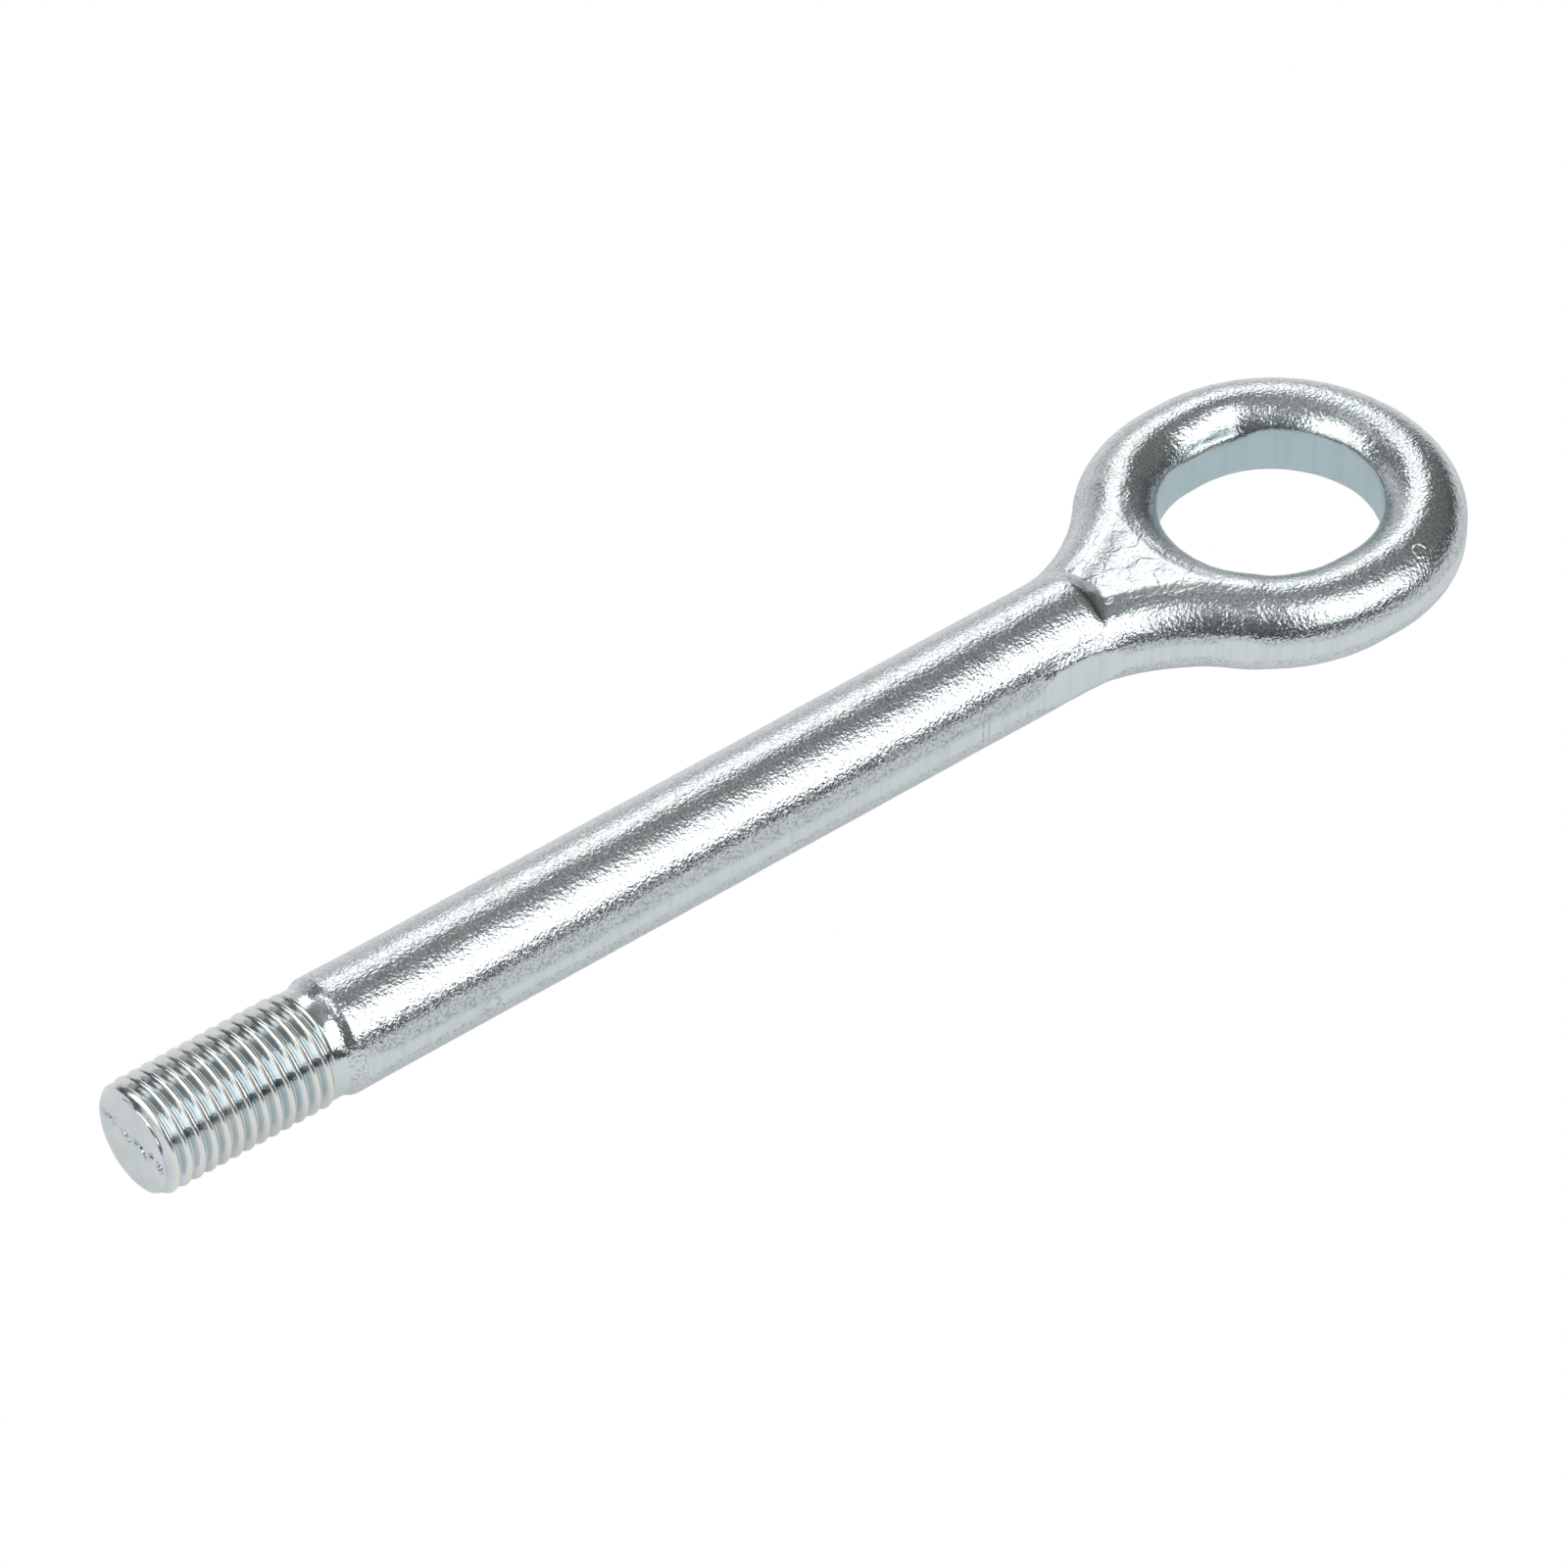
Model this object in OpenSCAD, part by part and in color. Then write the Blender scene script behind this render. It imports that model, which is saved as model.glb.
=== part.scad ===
// Forged tow eye in one piece: a threaded end, a neck, a long round shank and an eye to hook a rope into.
// It lies flat, the way it rests on a table. X runs along the screw axis from the thread to the eye,
// Y lies in the plane of the eye and Z points up. The origin is under the middle of its overall box.

/* [Thread] */
// Outside diameter of the thread
thread_d = 16; // [12:0.5:16]
// Pitch of the thread, which sets how deep its roots go
thread_pitch = 2; // [1:0.25:2.5]
// Length from the tip to the end of the thread's run-out
thread_len = 26; // [18:0.5:40]
// Length of the lead-in at the tip
lead_in = 1.3; // [0.8:0.1:2]

/* [Neck and shoulder] */
// Diameter of the plain neck behind the thread
neck_d = 15.2; // [10:0.1:15.6]
// Length of the plain neck
neck_len = 2.3; // [1:0.1:8]
// Length of the cone that leads from the neck up to the shank
shoulder_len = 1.9; // [1:0.1:4]

/* [Shank] */
// Diameter of the round shank
shank_d = 16.4; // [16.2:0.1:19]
// Width over the two lands where the flash was trimmed off the shank
shank_across = 15.9; // [15.5:0.1:16.1]
// Distance from the tip to the middle of the eye
reach = 188; // [140:1:260]
// Length of the ramp that drops from the shank's crown to the flat web
ramp_len = 2.2; // [1:0.1:5]
// Distance from the foot of that ramp to the middle of the eye
ramp_to_eye = 29; // [26:0.5:32]

/* [Eye] */
// Width of the hole, across the eye
hole_w = 28.4; // [24:0.1:34]
// How much longer the hole is than wide
hole_extra = 2.6; // [0.4:0.1:5]
// Height of the bar that the eye is bent from
bar_h = 12.5; // [11:0.1:13.5]
// Height of the trimmed land inside the hole
inner_land_h = 7; // [3:0.1:8]
// Height of the trimmed land round the outside
outer_land_h = 3.4; // [2:0.1:5]

/* [Crotch] */
// Radius of the hollow between the shank and the eye, seen from above
crotch_r = 30; // [18:1:45]
// How far the flat web lies under the crown of the eye
web_drop = 0.15; // [0.1:0.05:0.6]

/* [Hidden] */
$fn = 96;

// A thread's flanks reach this share of the pitch into the bar
root_share = 0.6134;
thread_r = thread_d / 2;
tip_r = thread_r - root_share * thread_pitch;
neck_r = neck_d / 2;
shank_r = shank_d / 2;
run_out = thread_r - neck_r;
neck_end = thread_len + neck_len;
shank_start = neck_end + shoulder_len;

// Bar of the eye: a round section, cut by the two trimmed lands
bar_r = bar_h / 2;
inner_reach = sqrt(pow(bar_r, 2) - pow(inner_land_h / 2, 2));
outer_reach = sqrt(pow(bar_r, 2) - pow(outer_land_h / 2, 2));
ring_r = hole_w / 2 + inner_reach;
outer_r = ring_r + outer_reach;
eye_near = reach - hole_extra / 2;
eye_far = reach + hole_extra / 2;
total_len = eye_far + outer_r;

// The hollow in the crotch is round, and runs from the shank's land to the outside of the eye.
// It starts a little inside the shank, so that it leaves the land at an angle.
hollow_start = 0.05;
hollow_y = shank_across / 2 - hollow_start + crotch_r;
hollow_angle = asin(hollow_y / (outer_r + crotch_r));
hollow_x = eye_near - (outer_r + crotch_r) * cos(hollow_angle);

// The bar beside the hollow is this much slimmer than the eye's, which hides its end in the eye
tuck = 0.05;

// Web and ramp. The web reaches this far into the rounded bar on each side of it
web_lap = 0.5;
web_z = bar_r - web_drop;
core_z = web_z - 0.1;
ramp_foot = reach - ramp_to_eye;
ramp_slope = ramp_len / (shank_r - web_z);
clear = 1;
steel = "#b9bec2";

// Section of the eye's bar, with X away from the middle of the eye
module bar_section() {
    translate([ring_r, 0])
        intersection() {
            circle(r = bar_r);
            translate([-inner_reach, -bar_r])
                square([inner_reach + outer_reach, bar_h]);
        }
}

// Thread, neck, shoulder and shank, turned about X
module turned_bar(end_x) {
    rotate([0, 90, 0])
        rotate_extrude()
            polygon([
                [0, 0],
                [tip_r, 0],
                [thread_r, lead_in],
                [thread_r, thread_len - run_out],
                [neck_r, thread_len],
                [neck_r, neck_end],
                [shank_r, shank_start],
                [shank_r, end_x],
                [0, end_x]
            ]);
}

// Side view of the room that the shank may fill: full height up to the ramp, and then under the web
module shank_side() {
    high = shank_r + clear;
    polygon([
        [-clear, -high],
        [ramp_foot - ramp_slope * (high - core_z), -high],
        [ramp_foot, -core_z],
        [eye_near, -core_z],
        [eye_near, core_z],
        [ramp_foot, core_z],
        [ramp_foot - ramp_slope * (high - core_z), high],
        [-clear, high]
    ]);
}

module shank() {
    intersection() {
        turned_bar(eye_near - ring_r);
        rotate([90, 0, 0])
            linear_extrude(height = shank_d + 2 * clear, center = true)
                shank_side();
        translate([-clear, -shank_across / 2, -shank_r - clear])
            cube([total_len, shank_across, shank_d + 2 * clear]);
    }
}

// Half of the eye, open towards the given turn
module eye_half(middle_x, turn) {
    translate([middle_x, 0, 0])
        rotate([0, 0, turn])
            rotate_extrude(angle = 180)
                bar_section();
}

// Straight piece that makes the hole longer than wide
module eye_side() {
    translate([eye_near, 0, 0])
        rotate([90, 0, 90])
            linear_extrude(height = hole_extra)
                bar_section();
}

module eye() {
    eye_half(eye_near, 90);
    eye_half(eye_far, -90);
    for (side = [0, 1])
        mirror([0, side, 0])
            eye_side();
}

// Outer half of a slightly slimmer bar, which follows the hollow from the eye to the shank
module hollow_side() {
    translate([hollow_x, hollow_y, 0])
        rotate([0, 0, -90])
            rotate_extrude(angle = 90 - hollow_angle)
                translate([crotch_r + outer_reach, 0])
                    intersection() {
                        circle(r = bar_r - tuck);
                        translate([tuck - outer_reach, -bar_r])
                            square([outer_reach - tuck, bar_h]);
                    }
}

// Flat web between the shank, the two hollows and the eye
module web() {
    linear_extrude(height = 2 * web_z, center = true)
        difference() {
            polygon([[hollow_x, hollow_y], [eye_near, 0], [hollow_x, -hollow_y]]);
            translate([eye_near, 0])
                circle(r = ring_r - web_lap);
            for (side = [-1, 1])
                translate([hollow_x, side * hollow_y])
                    circle(r = crotch_r + outer_reach - web_lap);
        }
}

module tow_eye() {
    color(steel)
        translate([-total_len / 2, 0, shank_r]) {
            shank();
            web();
            eye();
            for (side = [0, 1])
                mirror([0, side, 0])
                    hollow_side();
        }
}

tow_eye();
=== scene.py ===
"""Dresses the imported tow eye: forged skin, trimmed lands, cut thread, zinc plating and a plain studio."""
import logging
import math
from collections.abc import Callable, Iterable
from dataclasses import dataclass, field
from enum import Enum

import bmesh
import bpy
import numpy as np
from mathutils import Matrix, Quaternion, Vector


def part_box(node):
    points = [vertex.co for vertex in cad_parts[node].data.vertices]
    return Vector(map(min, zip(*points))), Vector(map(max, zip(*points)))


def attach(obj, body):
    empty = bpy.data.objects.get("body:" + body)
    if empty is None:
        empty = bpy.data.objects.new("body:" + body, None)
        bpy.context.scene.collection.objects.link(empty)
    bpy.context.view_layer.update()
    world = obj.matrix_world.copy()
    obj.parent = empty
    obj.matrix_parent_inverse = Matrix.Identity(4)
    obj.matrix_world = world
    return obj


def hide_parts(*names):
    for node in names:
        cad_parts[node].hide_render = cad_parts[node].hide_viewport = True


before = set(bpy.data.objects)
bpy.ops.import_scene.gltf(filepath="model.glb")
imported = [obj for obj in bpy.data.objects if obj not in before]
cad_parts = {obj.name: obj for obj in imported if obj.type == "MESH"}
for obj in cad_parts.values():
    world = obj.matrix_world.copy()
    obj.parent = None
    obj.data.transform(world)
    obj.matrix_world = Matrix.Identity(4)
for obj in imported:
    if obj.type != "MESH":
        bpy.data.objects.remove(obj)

LOG = logging.getLogger("tow_eye")

MM = 0.001
NODE = "tow_eye"
PIECE = "tow_eye_forging"
WHITE = (1.0, 1.0, 1.0)

Shade = tuple[float, float, float]
Socket = bpy.types.NodeSocket


@dataclass
class EyeSizes:
    """Sizes of the tow eye in millimetres, along its own axis from the thread's tip at x = 0."""

    thread_d: float = 16.0
    pitch: float = 2.0
    thread_len: float = 27.3
    lead_in: float = 1.3
    neck_d: float = 15.2
    neck_len: float = 1.6
    shoulder_len: float = 1.3
    shank_d: float = 16.4
    shank_across: float = 15.9
    reach: float = 188.0
    ramp_len: float = 3.3
    ramp_to_eye: float = 31.3
    hole_w: float = 28.4
    hole_extra: float = 2.6
    bar_h: float = 12.5
    inner_land_h: float = 7.0
    outer_land_h: float = 3.4
    crotch_r: float = 30.0
    web_drop: float = 0.05
    root_share: float = 0.6134

    def __post_init__(self) -> None:
        """Works out the sizes that follow from the others."""
        # Depth of the thread, end of the neck and start of the full shank
        self.thread_depth = self.root_share * self.pitch
        self.neck_end = self.thread_len + self.neck_len
        self.shank_start = self.neck_end + self.shoulder_len
        # Bar of the eye, the reach of its lands from its centre line, and the eye's radii at its ends
        self.bar_r = self.bar_h / 2
        self.inner_reach = math.sqrt(self.bar_r ** 2 - (self.inner_land_h / 2) ** 2)
        self.outer_reach = math.sqrt(self.bar_r ** 2 - (self.outer_land_h / 2) ** 2)
        self.ring_r = self.hole_w / 2 + self.inner_reach
        self.outer_r = self.ring_r + self.outer_reach
        # Centres of the eye's two round ends
        self.eye_near = self.reach - self.hole_extra / 2
        self.eye_far = self.reach + self.hole_extra / 2
        # Centre of the hollow, and its angle at the eye in radians
        self.hollow_y = self.shank_across / 2 + self.crotch_r
        self.hollow_angle = math.asin(self.hollow_y / (self.outer_r + self.crotch_r))
        self.hollow_x = self.eye_near - (self.outer_r + self.crotch_r) * math.cos(self.hollow_angle)
        # Height of the flat web over the parting plane, and foot of the ramp that meets it
        self.web_z = self.bar_r - self.web_drop
        self.ramp_foot = self.reach - self.ramp_to_eye


class Seat:
    """Turns the eye's own millimetres into the row's metres and back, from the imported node's box."""

    def __init__(self) -> None:
        """Reads the node's box."""
        low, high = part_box(NODE)
        self.origin = Vector((low.x, (low.y + high.y) / 2, (low.z + high.z) / 2))

    def read(self, verts: Iterable[bmesh.types.BMVert]) -> np.ndarray:
        """Gives where some vertices lie, in the eye's millimetres."""
        return (np.array([v.co for v in verts]) - np.array(self.origin)) / MM

    def write(self, verts: Iterable[bmesh.types.BMVert], points: np.ndarray) -> None:
        """Moves vertices to points in the eye's millimetres."""
        for vert, place in zip(verts, points * MM + np.array(self.origin)):
            vert.co = place

    def place(self, x: float, y: float = 0.0, z: float = 0.0) -> Vector:
        """Gives one point in row metres."""
        return self.origin + Vector((x, y, z)) * MM


class LatticeNoise:
    """Smooth seeded noise on a repeating lattice, from -1 to 1."""

    CELLS = 48

    def __init__(self, seed: int) -> None:
        """Draws the lattice.

        Args:
            seed: Start of the random draws.
        """
        self.table = np.random.default_rng(seed).uniform(-1, 1, (self.CELLS,) * 3)

    def __call__(self, points: np.ndarray, size: tuple[float, float, float]) -> np.ndarray:
        """Reads the noise at some points.

        Args:
            points: Points in millimetres, one row each.
            size: Size of one lattice cell along x, y and z, in millimetres.

        Returns:
            One value for each point.
        """
        scaled = points / np.array(size)
        cell = np.floor(scaled).astype(int)
        part = scaled - cell
        part = part * part * (3 - 2 * part)
        total = np.zeros(len(points))
        for dx in (0, 1):
            for dy in (0, 1):
                for dz in (0, 1):
                    share = np.ones(len(points))
                    for axis, step in enumerate((dx, dy, dz)):
                        share = share * (part[:, axis] if step else 1 - part[:, axis])
                    corner = (cell + (dx, dy, dz)) % self.CELLS
                    total += share * self.table[corner[:, 0], corner[:, 1], corner[:, 2]]
        return total


def smooth_min(a: np.ndarray, b: np.ndarray, width: float) -> np.ndarray:
    """Joins two distances with a fillet about as wide as the given width."""
    near = np.maximum(width - np.abs(a - b), 0) / width
    return np.minimum(a, b) - near * near * width / 4


def smooth_max(a: np.ndarray, b: np.ndarray, width: float) -> np.ndarray:
    """Intersects two distances with an edge rounded over the given width."""
    return -smooth_min(-a, -b, width)


def smooth_step(low: float, high: float, value: np.ndarray) -> np.ndarray:
    """Rises smoothly from 0 at low to 1 at high."""
    part = np.clip((value - low) / (high - low), 0, 1)
    return part * part * (3 - 2 * part)


def off_axis(points: np.ndarray) -> np.ndarray:
    """Distance from the screw axis."""
    return np.hypot(points[:, 1], points[:, 2])


def bell(value: np.ndarray, middle: float, width: float) -> np.ndarray:
    """Rises to 1 at the middle and falls off to both sides."""
    return np.exp(-((value - middle) / width) ** 2)


def note(net: bmesh.types.BMesh, notes: dict[str, np.ndarray]) -> None:
    """Keeps numbers on the vertices of a net.

    Args:
        net: The net.
        notes: The number of each vertex, under each name.
    """
    for name, values in notes.items():
        layer = net.verts.layers.float.new(name)
        for vert, value in zip(net.verts, values):
            vert[layer] = float(value)


def stand(name: str, net: bmesh.types.BMesh, *materials: bpy.types.Material) -> bpy.types.Object:
    """Makes an object of a finished net.

    Args:
        name: Name of the object and of its mesh.
        net: The net, which is freed.
        materials: Its materials.

    Returns:
        The object.
    """
    mesh = bpy.data.meshes.new(name)
    net.to_mesh(mesh)
    net.free()
    for material in materials:
        mesh.materials.append(material)
    piece = bpy.data.objects.new(name, mesh)
    bpy.context.scene.collection.objects.link(piece)
    return piece


@dataclass
class ForgedForm:
    """The forging as a distance that is zero on its skin, in the eye's millimetres."""

    # Widths of the fillets. The one beside the shank grows between two heights, towards its middle
    SHANK_FILLET = 2.4
    WEB_FILLET = 0.7
    CROWN_FILLET = 0.7
    RAMP_FILLET = 0.5
    FILLET_HEIGHTS = (4.2, 1.8)
    TRIM_EDGE = 0.12

    # How far the trimmed walls stay inside the solid's
    SPARE = 0.01

    # Step that the slope is read over, and the least square of a slope
    PROBE = 0.01
    LEAST_SLOPE = 0.25

    sizes: EyeSizes

    def along_eye(self, points: np.ndarray) -> np.ndarray:
        """Distance in plan from the line between the centres of the eye's two round ends.

        Args:
            points: Points in the eye's millimetres.

        Returns:
            Distance of each point, in millimetres.
        """
        s = self.sizes
        beside = np.clip(points[:, 0], s.eye_near, s.eye_far)
        return np.hypot(points[:, 0] - beside, points[:, 1])

    def from_hollow(self, points: np.ndarray) -> np.ndarray:
        """Distance in plan from the centre of the hollow on the point's own side."""
        s = self.sizes
        return np.hypot(points[:, 0] - s.hollow_x, np.abs(points[:, 1]) - s.hollow_y)

    def shank(self, points: np.ndarray) -> np.ndarray:
        """The round shank, with the cone that ends it.

        Args:
            points: Points in the eye's millimetres.

        Returns:
            Distance from it at each point, negative inside.
        """
        s = self.sizes
        radius = s.shank_d / 2
        rise = radius - s.web_z
        across = off_axis(points) - radius
        ramp = (points[:, 0] - s.ramp_foot) * rise + (across + rise) * s.ramp_len
        return smooth_max(across, ramp / math.hypot(rise, s.ramp_len), self.RAMP_FILLET)

    def eye(self, points: np.ndarray) -> np.ndarray:
        """The eye's round bar before it is trimmed."""
        s = self.sizes
        return np.hypot(self.along_eye(points) - s.ring_r, points[:, 2]) - s.bar_r

    def hollow_bar(self, points: np.ndarray) -> np.ndarray:
        """The bar that follows the hollow from the shank to the eye.

        Args:
            points: Points in the eye's millimetres.

        Returns:
            Distance from it at each point, negative inside.
        """
        s = self.sizes
        bend = s.crotch_r + s.outer_reach
        east = points[:, 0] - s.hollow_x
        south = s.hollow_y - np.abs(points[:, 1])
        turn = np.clip(np.arctan2(east, south), 0, math.pi / 2 - s.hollow_angle)
        plan = np.hypot(east - bend * np.sin(turn), south - bend * np.cos(turn))
        return np.hypot(plan, points[:, 2]) - s.bar_r

    def web(self, points: np.ndarray) -> np.ndarray:
        """The flat web between the shank, the hollows and the eye.

        Args:
            points: Points in the eye's millimetres.

        Returns:
            Distance from it at each point, negative inside.
        """
        s = self.sizes
        beside = s.crotch_r + s.outer_reach - self.from_hollow(points)
        plan = np.maximum(np.maximum(beside, s.ring_r - self.along_eye(points)), s.hollow_x - points[:, 0])
        plan = np.maximum(plan, self.past_centres(points))
        return np.maximum(plan, np.abs(points[:, 2]) - s.web_z)

    def past_centres(self, points: np.ndarray) -> np.ndarray:
        """Distance in plan past the line from the hollow's centre to the eye's.

        Args:
            points: Points in the eye's millimetres.

        Returns:
            Distance of each point, negative before the line.
        """
        s = self.sizes
        east = points[:, 0] - s.eye_near
        north = np.abs(points[:, 1])
        return east * math.sin(s.hollow_angle) + north * math.cos(s.hollow_angle)

    def skin(self, points: np.ndarray) -> np.ndarray:
        """The forged skin before the flash is trimmed off.

        Args:
            points: Points in the eye's millimetres.

        Returns:
            Distance from it at each point, negative inside.
        """
        head = smooth_min(self.eye(points), self.hollow_bar(points), self.WEB_FILLET)
        head = smooth_min(head, self.web(points), self.WEB_FILLET)
        low = smooth_step(*self.FILLET_HEIGHTS, np.abs(points[:, 2]))
        fillet = self.CROWN_FILLET + (self.SHANK_FILLET - self.CROWN_FILLET) * low
        return smooth_min(head, self.shank(points), fillet)

    def trim(self, points: np.ndarray) -> np.ndarray:
        """The upright walls that the trimming tool cuts, outside and in the hole.

        Args:
            points: Points in the eye's millimetres.

        Returns:
            Distance from it at each point, negative inside.
        """
        s = self.sizes
        strip = np.abs(points[:, 1]) - s.shank_across / 2 + self.SPARE
        hollow = s.crotch_r - self.from_hollow(points)
        round_eye = self.along_eye(points) - s.outer_r + self.SPARE
        outside = np.where(self.past_centres(points) > 0, round_eye, hollow)
        outside = np.where(points[:, 0] < s.hollow_x, strip, outside)
        return np.maximum(outside, s.hole_w / 2 - self.along_eye(points))

    def whole(self, points: np.ndarray, sunk: np.ndarray) -> np.ndarray:
        """The trimmed forging.

        Args:
            points: Points in the eye's millimetres.
            sunk: How far the forged skin lies under its nominal form at each point.

        Returns:
            Distance from the skin, negative inside.
        """
        return smooth_max(self.skin(points) + sunk, self.trim(points), self.TRIM_EDGE)

    def pull_to_skin(self, points: np.ndarray, sunk: np.ndarray, rounds: int) -> np.ndarray:
        """Moves points onto the skin along the distance's own slope.

        Args:
            points: Points near the skin.
            sunk: How far the forged skin lies under its nominal form at each point.
            rounds: How many times each point is moved.

        Returns:
            The moved points.
        """
        for _ in range(rounds):
            here = self.whole(points, sunk)
            slope = np.zeros_like(points)
            for axis, shift in enumerate(np.eye(3) * self.PROBE):
                ahead = self.whole(points + shift, sunk)
                behind = self.whole(points - shift, sunk)
                slope[:, axis] = (ahead - behind) / (2 * self.PROBE)
            length = np.maximum((slope ** 2).sum(axis=1), self.LEAST_SLOPE)
            points = points - slope * (here / length)[:, None]
        return points


@dataclass(frozen=True)
class Relief:
    """One kind of unevenness.

    Args:
        depth: How deep it goes, in millimetres.
        cell: Size of its lattice cells along x, y and z, in millimetres.
    """

    depth: float
    cell: tuple[float, float, float]

    def read(self, noise: LatticeNoise, points: np.ndarray) -> np.ndarray:
        """Gives its depth at some points, of either sign."""
        return self.depth * noise(points, self.cell)


@dataclass
class ForgingMarks:
    """How far the skin sinks under its nominal form: die wear, wrinkles, flakes and dents."""

    # Even sinking, its lowest value, where it sets in behind the shoulder, and its noises
    MEAN = 0.05
    LEAST = 0.02
    FADE = (0.6, 6)
    SWELL = Relief(0.040, (13, 7, 7))
    DENTS = Relief(0.020, (3.2, 2.6, 2.6))
    PEEL = Relief(0.010, (1.2, 1.2, 1.2))
    RING_GAP = 2

    # Wrinkles across the bar, how they wind, and where they grow beside the hollow's centre
    WRINKLES = Relief(0.020, (0.85, 2.4, 2.4))
    WRINKLE_BEND = Relief(0.8, (4, 4, 4))
    GROWTH = (-45, 15)
    LEAST_GROWTH = 0.25

    # Flakes on the web: their layers, how they wind, how soft their edges are
    FLAKES = (Relief(0.020, (3.0, 3.0, 40)), Relief(0.010, (2.0, 2.0, 40)))
    FLAKE_BEND = Relief(1.2, (2.6, 2.6, 9))
    FLAKE_SHIFT = 17
    FLAKE_EDGE = 0.12
    FLAKE_HEIGHT = 4.5
    WEB_REACH = (1.6, 0.2)

    # Underfilled rim: where it starts and ends round the hole in degrees, and how far it sinks
    FILL_START = (50, 68)
    FILL_END = (126, 90)
    FILL_INSET = 1
    FILL_LIMIT = 1.1
    FILL_CURVE = 1.3
    FILL_RISE = 1.0
    FILL_DEPTH = 0.60
    FILL_MEAN = 0.9
    FILL_WAVE = Relief(0.3, (4, 4, 4))

    # Low strip over the shank's land
    STRIP_TOP = (3.4, 1.6)
    STRIP_FOOT = (-0.6, 0.4)
    STRIP_DEPTH = 0.10
    STRIP_WAVE = Relief(0.4, (5, 5, 5))

    # Starts of the draws for swells, dents, peel, creases and scales
    SEEDS = (11, 23, 37, 41, 53)

    form: ForgedForm

    def __post_init__(self) -> None:
        """Draws the noises."""
        self.sizes = self.form.sizes
        self.swell, self.dents, self.peel, self.creases, self.scales = map(LatticeNoise, self.SEEDS)

    def along_flow(self, points: np.ndarray) -> np.ndarray:
        """Lays the points out along the bar: way along it, side of it and height, in millimetres.

        Args:
            points: Points in the eye's millimetres.

        Returns:
            The three measures of each point, one row each.
        """
        s = self.sizes
        turn = np.arctan2(points[:, 1], points[:, 0] - s.reach)
        ring = np.stack([turn * s.ring_r, self.form.along_eye(points), points[:, 2]], axis=1)
        on_ring = (points[:, 0] > s.reach - s.outer_r - self.RING_GAP)[:, None]
        return np.where(on_ring, ring, points)

    def wrinkles(self, points: np.ndarray) -> np.ndarray:
        """Fine wrinkles across the bar, which grow towards the eye.

        Args:
            points: Points in the eye's millimetres.

        Returns:
            Depth at each point, in millimetres.
        """
        flow = self.along_flow(points)
        bent = flow + self.WRINKLE_BEND.read(self.dents, flow)[:, None]
        grown = smooth_step(*self.GROWTH, points[:, 0] - self.sizes.hollow_x)
        return self.WRINKLES.read(self.creases, bent) * (self.LEAST_GROWTH + (1 - self.LEAST_GROWTH) * grown)

    def flakes(self, points: np.ndarray) -> np.ndarray:
        """Thin scale pressed into the web in overlapping flakes.

        Args:
            points: Points in the eye's millimetres.

        Returns:
            Depth at each point, in millimetres.
        """
        on_web = smooth_step(*self.WEB_REACH, self.form.web(points))
        on_web *= np.abs(points[:, 2]) > self.FLAKE_HEIGHT
        bent = points + self.FLAKE_BEND.read(self.dents, points)[:, None]
        depth = np.zeros(len(points))
        for layer, flake in enumerate(self.FLAKES):
            edge = self.scales(bent + layer * self.FLAKE_SHIFT, flake.cell)
            depth += flake.depth * smooth_step(-self.FLAKE_EDGE, self.FLAKE_EDGE, edge)
        return on_web * depth

    def thin_fill(self, points: np.ndarray) -> np.ndarray:
        """The stretch of the hole's far rim where the metal didn't fill the die.

        Args:
            points: Points in the eye's millimetres.

        Returns:
            Depth at each point, in millimetres.
        """
        s = self.sizes
        turn = np.degrees(np.arctan2(points[:, 1], points[:, 0] - s.reach))
        inward = s.ring_r - self.FILL_INSET - self.form.along_eye(points)
        inward /= s.inner_reach - self.FILL_INSET
        side = np.clip(inward, 0, self.FILL_LIMIT) ** self.FILL_CURVE
        above = smooth_step(-self.FILL_RISE, self.FILL_RISE, points[:, 2])
        stretch = smooth_step(*self.FILL_START, turn) * smooth_step(*self.FILL_END, turn)
        ragged = self.FILL_MEAN + self.FILL_WAVE.read(self.swell, points)
        return self.FILL_DEPTH * side * above * stretch * ragged

    def flash_strip(self, points: np.ndarray) -> np.ndarray:
        """The strip over the shank's land, which the die left a little lower.

        Args:
            points: Points in the eye's millimetres.

        Returns:
            Depth at each point, in millimetres.
        """
        height = points[:, 2] + self.STRIP_WAVE.read(self.swell, points)
        strip = smooth_step(*self.STRIP_TOP, height) * smooth_step(*self.STRIP_FOOT, height)
        return self.STRIP_DEPTH * strip * (points[:, 0] < self.sizes.hollow_x)

    def sunk(self, points: np.ndarray) -> np.ndarray:
        """Gives the depth at some points.

        Args:
            points: Points in the eye's millimetres.

        Returns:
            Depths in millimetres, none below a hair's breadth.
        """
        fade = smooth_step(*self.FADE, points[:, 0] - self.sizes.shank_start)
        depth = self.MEAN + self.wrinkles(points)
        for relief, noise in ((self.SWELL, self.swell), (self.DENTS, self.dents), (self.PEEL, self.peel)):
            depth += relief.read(noise, points)
        depth = self.LEAST / 2 + np.maximum(depth, self.LEAST) * fade
        return depth + self.flakes(points) + self.thin_fill(points) + self.flash_strip(points) * fade


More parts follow.
